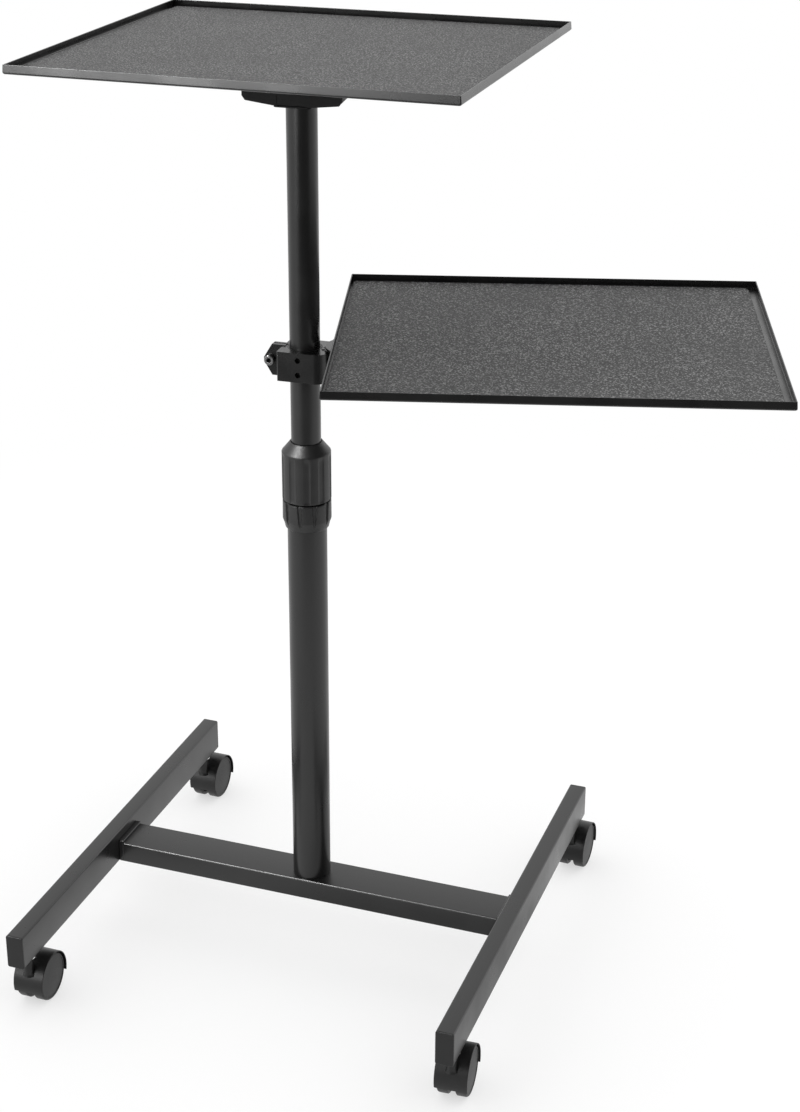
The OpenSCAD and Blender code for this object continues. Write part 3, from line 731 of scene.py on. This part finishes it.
def clamp_body(node, piece_name, front):
    """Half of the clamp: a block with a bore and two ears."""
    low, high = corners("clamp_liner")
    height, gap = high.z - low.z, CLAMP_SPLIT / 2
    reach = CLAMP_HALF + (CLAMP_SHOULDER if front else 0)
    bend = CLAMP_FRONT_ROUND if front else CLAMP_REAR_ROUND
    sweep = math.degrees(math.asin(gap / CLAMP_BORE))
    points = (
        [(-CLAMP_HALF, -gap)]
        + arc((-CLAMP_HALF + CLAMP_CORNER, -CLAMP_REACH + CLAMP_CORNER), CLAMP_CORNER, 180, 270, 5)
        + arc((reach - bend, -CLAMP_REACH + bend), bend, 270, 360, 14)
        + [(reach, -gap)]
        + arc((0, 0), CLAMP_BORE, 360 - sweep, 180 + sweep, 48)
    )
    block = Shape()
    block.move(block.raise_face([block.outline(points)], height), (0, 0, -height / 2))
    ears = Shape()
    rise, slant = height / 2 + EAR_OVERLAP, EAR_REACH - EAR_SLANT
    ear = [(-EAR_REACH, -2), (-EAR_REACH, 2), (-slant, rise)]
    ear += [(-EAR_ROOT, rise), (-EAR_ROOT, -rise), (-slant, -rise)]
    for side in (-1, 1):
        face = ears.outline([(-side * x, y) for x, y in ear])
        verts = ears.raise_face([face], EAR_THICKNESS)
        ears.place(verts, Matrix.Translation((0, -gap, 0)) @ UPRIGHT)
    mirror = Matrix.Identity(4) if front else Matrix.Scale(-1, 4, (0, 1, 0))
    here = at_pole((low.z + high.z) / 2, CLAMP_TURN) @ mirror
    piece = block.object(piece_name, here)
    combine(piece, [ears.object("ears", here)], "UNION")
    if front:
        holes = []
        for z in (-FACE_HOLE_PITCH / 2, FACE_HOLE_PITCH / 2):
            hole = Shape()
            hole.turned([(0, -8), (FACE_HOLE, -8), (FACE_HOLE, 8), (0, 8)], steps=32, close=False)
            holes.append(hole.object("hole", here @ Matrix.Translation((0, -CLAMP_REACH, z)) @ UPRIGHT))
        combine(piece, holes, "DIFFERENCE")
    dress(piece, "clamp", bracket_coat, [node], edge=0.5)


def socket_bolts():
    """The clamp's two bolts, with a socket in the head and a nut behind."""
    centre = middle("clamp_liner")
    ears = CLAMP_SPLIT / 2 + EAR_THICKNESS
    for side, word in ((-1, "left"), (1, "right")):
        front = ears if side < 0 else ears + BRACKET
        end = -front - ears - BOLT_END
        bolt = Shape()
        bolt.turned(BOLT_HEAD + [(BOLT_SHAFT, end), (0, end)], steps=40, close=False)
        socket = Shape()
        socket.turned(BOLT_SOCKET, steps=6, close=False)
        here = at_pole(centre.z, CLAMP_TURN) @ Matrix.Translation((side * BOLT_OFFSET, -front, 0))
        here = here @ UPRIGHT
        piece = bolt.object("clamp_bolt_" + word, here)
        combine(piece, [socket.object("socket", here)], "DIFFERENCE")
        nodes = ["clamp_bolts"] if side < 0 else []
        dress(piece, "clamp", bolt_zinc, nodes, edge=0.15)
        nut = Shape()
        nut.turned(BOLT_NUT, steps=6)
        back = at_pole(centre.z, CLAMP_TURN) @ Matrix.Translation((side * BOLT_OFFSET, ears, 0))
        piece = nut.object("clamp_nut_" + word, back @ Matrix.Rotation(math.radians(-90), 4, "X"))
        dress(piece, "clamp", zinc, [], edge=0.4)


# Brackets

def head_place():
    """Underside of the head bracket, on the column's axis."""
    return at_pole(corners("head_block")[0].z + HEAD_LIFT, HEAD_TURN)


def spider():
    """A stamped dish in two halves: a bent floor with flanges, and a notch beside the hub."""
    height = corners("upper_tray")[0].z - corners("head_block")[0].z - HEAD_LIFT
    outer, foot, hub = SPIDER / 2 - BRACKET / 2, height - BRACKET / 2, HUB / 2
    floor = bent([(hub - 1, 2.5), (outer - 3, 6), (outer, 10), (outer, foot), (outer - 16, foot)], 2.2)
    edge = [(hub - 4, 1.6), (hub, 1.6), (outer - 2.4, 5), (outer + 1, 9.5), (outer + 1, height)]
    top = [(hub + 12, height), (hub + 8, height - 3), (hub + 3, height - 3)]
    top += [(hub, height), (hub - 4, height)]
    for side in (-1, 1):
        shape = Shape()
        shape.ribbon([(side * x, y) for x, y in floor], 2 * HEAD_FLANGE)
        for vert in shape.bm.verts:
            if vert.co.z < 0:
                vert.co.x *= HEAD_TAPER
        piece = shape.object("head_arm_" + ("left" if side < 0 else "right"), head_place() @ UPRIGHT)
        thicken(piece, BRACKET)
        flanges = []
        for row, share in ((-HEAD_FLANGE, 1), (HEAD_FLANGE, HEAD_TAPER)):
            web = Shape()
            outline = [(side * x * share, y) for x, y in edge + top]
            web.move(web.raise_face([web.outline(outline)], BRACKET), (0, 0, -BRACKET / 2))
            flanges.append(web.object("flange", head_place() @ Matrix.Translation((0, row, 0)) @ UPRIGHT))
        combine(piece, flanges, "UNION")
        dress(piece, "column", head_coat, ["head_spider"] if side < 0 else [], edge=0.5)


def head_hub():
    """The block that holds the head bracket on the upper tube."""
    low, high = corners("head_block")
    radius = radius_of("upper_tube")
    plate = Shape()
    plate.raise_face([plate.plate(HUB, HUB_DEPTH, HUB_CORNER)], BRACKET)
    piece = plate.object("head_plate", head_place())
    block = Shape()
    block.raise_face([block.plate(HUB - 2, HUB_DEPTH - 2, HUB_CORNER - 1)], high.z - low.z)
    bore = Shape()
    bore.turned([(0, -5), (radius, -5), (radius, 20), (0, 20)], steps=96, close=False)
    combine(piece, [block.object("block", head_place())], "UNION")
    combine(piece, [bore.object("bore", head_place())], "DIFFERENCE")
    dress(piece, "column", head_coat, ["head_block"], edge=0.6)


def pan_screw(name, body, place, grip, nodes):
    """A small screw with a domed head below its seat and a cross recess."""
    shape = Shape()
    shaft = [(SCREW_SHAFT, 0), (SCREW_SHAFT, grip), (0, grip)]
    shape.turned(SCREW_HEAD + shaft, steps=32, close=False)
    piece = shape.object(name, place)
    cuts = []
    for width, depth in ((RECESS_LONG, RECESS_SHORT), (RECESS_SHORT, RECESS_LONG)):
        cut = Shape()
        cut.block((width, depth, RECESS_DEEP), (0, 0, RECESS_MIDDLE))
        cuts.append(cut.object("recess", place))
    combine(piece, cuts, "DIFFERENCE")
    dress(piece, body, zinc, nodes, edge=0)


def head_screws():
    """The four screws that hold the upper tray on its bracket."""
    seat = corners("upper_tray")[0].z - BRACKET
    hole = SPIDER / 2 - SCREW_INSET
    for i, (x, y) in enumerate((x, y) for x in (-hole, hole) for y in (-SCREW_ROW, SCREW_ROW)):
        place = at_pole(seat, HEAD_TURN) @ Matrix.Translation((x, y, 0))
        nodes = ["head_screws"] if i == 0 else []
        pan_screw(f"head_screw_{i + 1}", "column", place, BRACKET + SHEET, nodes)


def shelf_arm():
    """The channel that carries the shelf, open below, its free end cut at a slant."""
    low, high = corners("clamp_liner")
    rise = (high.z - low.z) / 2 + EAR_OVERLAP
    front = -(CLAMP_SPLIT / 2 + EAR_THICKNESS) - BRACKET / 2
    back = front + ARM_WIDTH - BRACKET
    start, finish = CLAMP_HALF + ARM_START, PIVOT_REACH + ARM_OVERHANG
    top = rise + BRACKET / 2
    shape = Shape()
    shape.ribbon(bent([(front, -rise), (front, top), (back, top), (back, -rise)], 2), finish - start)
    shape.bm.transform(Matrix.Translation(((start + finish) / 2, 0, 0)) @ LENGTHWISE)
    slant = Vector((rise - ARM_NOSE + rise, 0, -(finish - EAR_REACH - EAR_THICKNESS)))
    shape.clip((finish, 0, rise - ARM_NOSE), slant)
    place = at_pole((low.z + high.z) / 2, CLAMP_TURN)
    piece = thicken(shape.object("shelf_channel", place), BRACKET)
    dress(piece, "clamp", frame_coat, ["shelf_arm"], edge=0.5)


def shelf_place(height=0.0):
    """The shelf's swivel axis, turned as the shelf is."""
    turn = math.radians(CLAMP_TURN)
    x = PIVOT_REACH * math.cos(turn) - PIVOT_SIDE * math.sin(turn)
    y = PIVOT_REACH * math.sin(turn) + PIVOT_SIDE * math.cos(turn)
    base = corners("shelf_rail")[0].z
    return standing((pole.x + x, pole.y + y, base + height), SHELF_TURN)


def hat_rail():
    """The hat-section rail under the shelf, with the round plate that turns on the arm."""
    low, high = corners("shelf_rail")
    top = high.z - low.z - BRACKET / 2
    inner, half = HAT_WIDTH / 2 - HAT_FLANGE - BRACKET / 2, HAT_WIDTH / 2
    side = [(inner, BRACKET / 2), (inner, top), (half, top)]
    path = [(-x, y) for x, y in reversed(side)] + side
    shape = Shape()
    shape.ribbon(bent(path, 1.8), HAT_LENGTH)
    shape.bm.transform(Matrix.Translation((HAT_LENGTH / 2 - HAT_OVERHANG, 0, 0)) @ LENGTHWISE)
    piece = thicken(shape.object("hat_rail", shelf_place()), BRACKET)
    dress(piece, "shelf", frame_coat, ["shelf_rail"], edge=0.4)
    disc = Shape()
    disc.turned([(4.3, 0), (PLATE_RADIUS, 0), (PLATE_RADIUS, BRACKET), (4.3, BRACKET)], steps=96)
    dress(disc.object("swivel_plate", shelf_place()), "shelf", frame_coat, [], edge=0.4)


def swivel_hardware():
    """The bolt and nut that the shelf turns on, and the screws that hold its tray."""
    bolt = Shape()
    bolt.turned(SWIVEL_BOLT, steps=48, close=False)
    socket = Shape()
    socket.turned(SWIVEL_SOCKET, steps=6, close=False)
    piece = bolt.object("swivel_bolt_body", shelf_place())
    combine(piece, [socket.object("socket", shelf_place())], "DIFFERENCE")
    dress(piece, "shelf", zinc, ["swivel_bolt"], edge=0.2)
    nut = Shape()
    nut.turned(SWIVEL_NUT, steps=6)
    dress(nut.object("swivel_nut", shelf_place()), "shelf", zinc, [], edge=0.5)
    seat = corners("shelf_tray")[0].z - corners("shelf_rail")[0].z - BRACKET
    row = (HAT_WIDTH - HAT_FLANGE) / 2
    for i, (share, side) in enumerate((share, side) for share in HAT_SCREWS for side in (-1, 1)):
        hole = Matrix.Translation((HAT_LENGTH * share - HAT_OVERHANG, side * row, 0))
        pan_screw(f"shelf_screw_{i + 1}", "shelf", shelf_place(seat) @ hole, BRACKET + SHEET, [])


# Castors

def castor_body(name, here, axle):
    """A hood and web over two wheels, on a slim boss that turns about the stem."""
    low, high = corners("front_left_castor")
    half = (high.x - low.x) / 2 + HOOD_FLARE
    bay_radius, web, rim = HOOD_RADIUS - HOOD_WALL, WEB / 2, HOOD_RADIUS - HOOD_RIM
    soft, ease = bay_radius + 0.3, half - 0.3
    hood = Shape()
    hood.turned(
        [(0, -web), (bay_radius, -web), (bay_radius, -ease), (soft, -half), (rim, -half)]
        + [(HOOD_RADIUS, HOOD_RIM - half), (HOOD_RADIUS, half - HOOD_RIM), (rim, half), (soft, half)]
        + [(bay_radius, ease), (bay_radius, web), (0, web)],
        close=False,
    )
    body = hood.object(name + "_hood", axle)
    boss = Shape()
    root, top = BOSS_ROOT, corners(name + "_castor")[1].z
    boss.turned(
        [(0, root), (BOSS_RADIUS + 1.2, root), (BOSS_RADIUS + 0.4, root + 2), (BOSS_RADIUS, root + 4)]
        + [(BOSS_RADIUS, top - 0.6), (BOSS_RADIUS - 0.6, top), (0, top)],
        steps=64, close=False,
    )
    boss_piece = boss.object("boss", here)
    bays = []
    for side in (-1, 1):
        bay = Shape()
        bay.turned([(0, web), (bay_radius, web), (bay_radius, 40), (0, 40)], close=False)
        bays.append(bay.object("bay", axle @ Matrix.Scale(side, 4, (0, 0, 1))))
    combine(boss_piece, bays, "DIFFERENCE")
    combine(body, [boss_piece], "UNION")
    trim = Shape()
    trim.block((80, 150, 40), (0, AXLE_TRAIL, HOOD_HEM - 20))
    combine(body, [trim.object("trim", here)], "DIFFERENCE")
    dress(body, name + "_castor", castor_plastic, [name + "_castor"], edge=0.35)


def castor_wheel(name, which, side, axle):
    """One wheel: a tread with a rounded shoulder, and a recessed disc that domes a little."""
    low, high = corners("front_left_outer_wheel")
    inside = (corners("front_left_inner_wheel")[0].x - high.x) / 2
    wide, r, step = high.x - low.x, WHEEL_RADIUS, WHEEL_RADIUS - WHEEL_SHOULDER
    profile = (
        [(AXLE_HOLE, 0), (8, 0), (8, 3), (r - 4, 3), (r - 4, 0), (r - 1, 0), (r, 1)]
        + arc((step, wide - WHEEL_SHOULDER), WHEEL_SHOULDER, 0, 90, 8)
        + [(step - 0.5, wide), (step - 0.9, wide - DISC_RECESS), (step - 2, wide - DISC_RECESS)]
        + [(10, wide - 0.1), (0, wide), (0, wide - 3), (AXLE_HOLE, wide - 3)]
    )
    wheel = Shape()
    wheel.turned(profile)
    place = axle @ Matrix.Scale(side, 4, (0, 0, 1)) @ Matrix.Translation((0, 0, inside))
    piece = wheel.object(f"{name}_{which}_tread", place)
    node = f"{name}_{which}_wheel"
    dress(piece, node, wheel_plastic, [node], edge=0, smooth=30)


def castor(name, turn):
    """A castor in its place below the rail, with its two wheels."""
    swivel = middle(name + "_stem")
    here = standing((swivel.x, swivel.y, 0), turn)
    hub = Matrix.Translation((0, AXLE_TRAIL, WHEEL_RADIUS))
    axle = here @ hub @ Matrix.Rotation(math.radians(90), 4, "Y")
    castor_body(name, here, axle)
    outside = -1 if "left" in name else 1
    castor_wheel(name, "outer", outside, axle)
    castor_wheel(name, "inner", -outside, axle)


# The whole cart, from the floor up

for side in ("left", "right"):
    rail(side)
    rail_caps(side)
crossbar()
end_plates()
column_tube("lower_tube", "column_lower", "base")
column_tube("upper_tube", "column_upper", "column")
fixed_ring()
twist_ring()
folded_tray("upper_tray", "tray_upper", "column", HEAD_TURN)
folded_tray("shelf_tray", "tray_shelf", "shelf", SHELF_TURN)
grip_sheet_piece("upper_mat", "mat_upper", "column", HEAD_TURN)
grip_sheet_piece("shelf_mat", "mat_shelf", "shelf", SHELF_TURN, -MAT_SHIFT, MAT_BACK_CORNER)
clamp_body("clamp_front", "clamp_half_front", True)
clamp_body("clamp_rear", "clamp_half_rear", False)
socket_bolts()
spider()
head_hub()
head_screws()
shelf_arm()
hat_rail()
swivel_hardware()
for name, turn in CASTOR_TURNS.items():
    castor(name, turn)

# Frame pieces that keep their own shape
KEPT = {
    "frame_paint": frame_coat,
    "tray_paint": tray_coat,
    "grip_mat": grip_mat,
    "black_plastic": collar_plastic,
    "wheel_plastic": wheel_plastic,
    "zinc_steel": zinc,
}
for part in frame["record"]["subparts"]:
    node = frame["nodes"][part["node"]]
    node.data.materials.clear()
    node.data.materials.append(KEPT[part["material_slot"]])

# Camera, solved from the photograph; yaw, pitch and roll are in degrees
CAMERA_FROM_POLE = Vector((780.1, -1942.7, 1426.8))
CAMERA_YAW, CAMERA_PITCH, CAMERA_ROLL = 20.4, -23.5, -0.2
LENS, SHIFT_X, SHIFT_Y = 68.004, 0.03847, -0.01802
AHEAD = Vector((-math.sin(math.radians(CAMERA_YAW)), math.cos(math.radians(CAMERA_YAW)), 0))
ASIDE = Vector((AHEAD.y, -AHEAD.x, 0))

camera = bpy.data.objects.new("camera", bpy.data.cameras.new("camera"))
bpy.context.scene.collection.objects.link(camera)
bpy.context.scene.camera = camera
camera.data.lens, camera.data.shift_x, camera.data.shift_y = LENS, SHIFT_X, SHIFT_Y
camera.matrix_world = (
    Matrix.Translation((pole + CAMERA_FROM_POLE) * MM)
    @ Matrix.Rotation(math.radians(CAMERA_YAW), 4, "Z")
    @ Matrix.Rotation(math.radians(90 + CAMERA_PITCH), 4, "X")
    @ Matrix.Rotation(math.radians(CAMERA_ROLL), 4, "Z")
)


# Studio

FLOOR_SIZE = 16000


def soft_box(name, place, aim, size, power):
    """A soft box that shows in reflections; place and aim are metres from the column's foot."""
    data = bpy.data.lights.new(name, "AREA")
    data.shape, data.size, data.size_y, data.energy = "RECTANGLE", size[0], size[1], power
    light = bpy.data.objects.new(name, data)
    bpy.context.scene.collection.objects.link(light)
    light.visible_diffuse = False
    light.location = pole * MM + Vector(place)
    light.rotation_euler = (Vector(aim) - Vector(place)).to_track_quat("-Z", "Y").to_euler()


def along(tree, vector, direction):
    """How far a vector of the shader goes in that direction."""
    return tree.add("VectorMath", {"operation": "DOT_PRODUCT"}, {0: vector, 1: direction}, out="Value")


def studio_world():
    """White to the camera; in reflections bright behind and beside the cart, dark before it."""
    world = bpy.data.worlds.new("studio")
    bpy.context.scene.world = world
    tree = Tree(world)
    where = tree.add("TexCoord", out="Generated")
    ahead, aside = along(tree, where, AHEAD), along(tree, where, ASIDE)
    # What reflections see: bright behind and at the left, grey in the far right corner
    behind = tree.span(ahead, -0.35, 0.2)
    left = tree.span(aside, -0.75, -0.3, 1.0, 0.0)
    corner = tree.span(aside, 0.3, 0.8) * tree.span(ahead, 0.0, 0.3)
    level = behind.above(left) + corner * 0.7 + 0.1
    # Diffuse light comes evenly from all round, and the camera sees plain white
    level = level.above(tree.ray("Diffuse") * 1.12).above(tree.ray("Camera"))
    glow = tree.add("Background", {}, {"Color": grey(1), "Strength": level})
    tree.add("OutputWorld", {}, {"Surface": glow})


def studio_floor():
    """A white floor that keeps soft shadows near the cart and darkens in reflections before it."""
    finish = Finish("studio_floor")
    place = finish.place()
    # Metres from the cart, and how squarely a place lies towards the camera
    out = finish.add("VectorMath", {"operation": "LENGTH"}, {0: place}, out="Value")
    facing = along(finish, place, -AHEAD) / (out + 0.001)
    # Shadows fade out with distance; two dark fields lie towards the camera, one below the cart
    near = finish.span(out, 0.9, 1.8, 1.0, 0.0)
    ahead = finish.span(facing, 0.75, 0.95) * finish.span(out, 1.2, 1.6)
    far = finish.span(facing, 0.5, 0.72) * finish.span(out, 1.7, 2.2)
    dark = ahead.above(far)
    inside = finish.span(out, 0.16, 0.3, 0.4, 0.0)
    camera_ray = finish.ray("Camera")
    level = (1 - dark * 0.92 - inside).above(camera_ray)
    glow = finish.add("Emission", {}, {"Color": grey(1), "Strength": level})
    shade = finish.add("BsdfDiffuse", {}, {"Color": grey(0.97)})
    share = camera_ray * (1 - near * 0.42) + finish.ray("Glossy")
    surface = finish.add("MixShader", {}, {0: share, 1: shade, 2: glow})
    finish.add("OutputMaterial", {}, {"Surface": surface})
    shape = Shape()
    shape.plate(FLOOR_SIZE, FLOOR_SIZE)
    floor = shape.object("floor", Matrix.Identity(4))
    floor.data.transform(Matrix.Scale(MM, 4))
    floor.data.materials.append(finish.material)


studio_floor()
studio_world()
soft_box("key", (-1.3, -1.25, 3.1), (0, 0, 0.6), (0.9, 0.9), 150)
soft_box("low_box", (-1.3, -3.0, 1.25), (0, 0, 1.0), (0.9, 1.4), 34)

bpy.context.scene.view_settings.view_transform = "Standard"
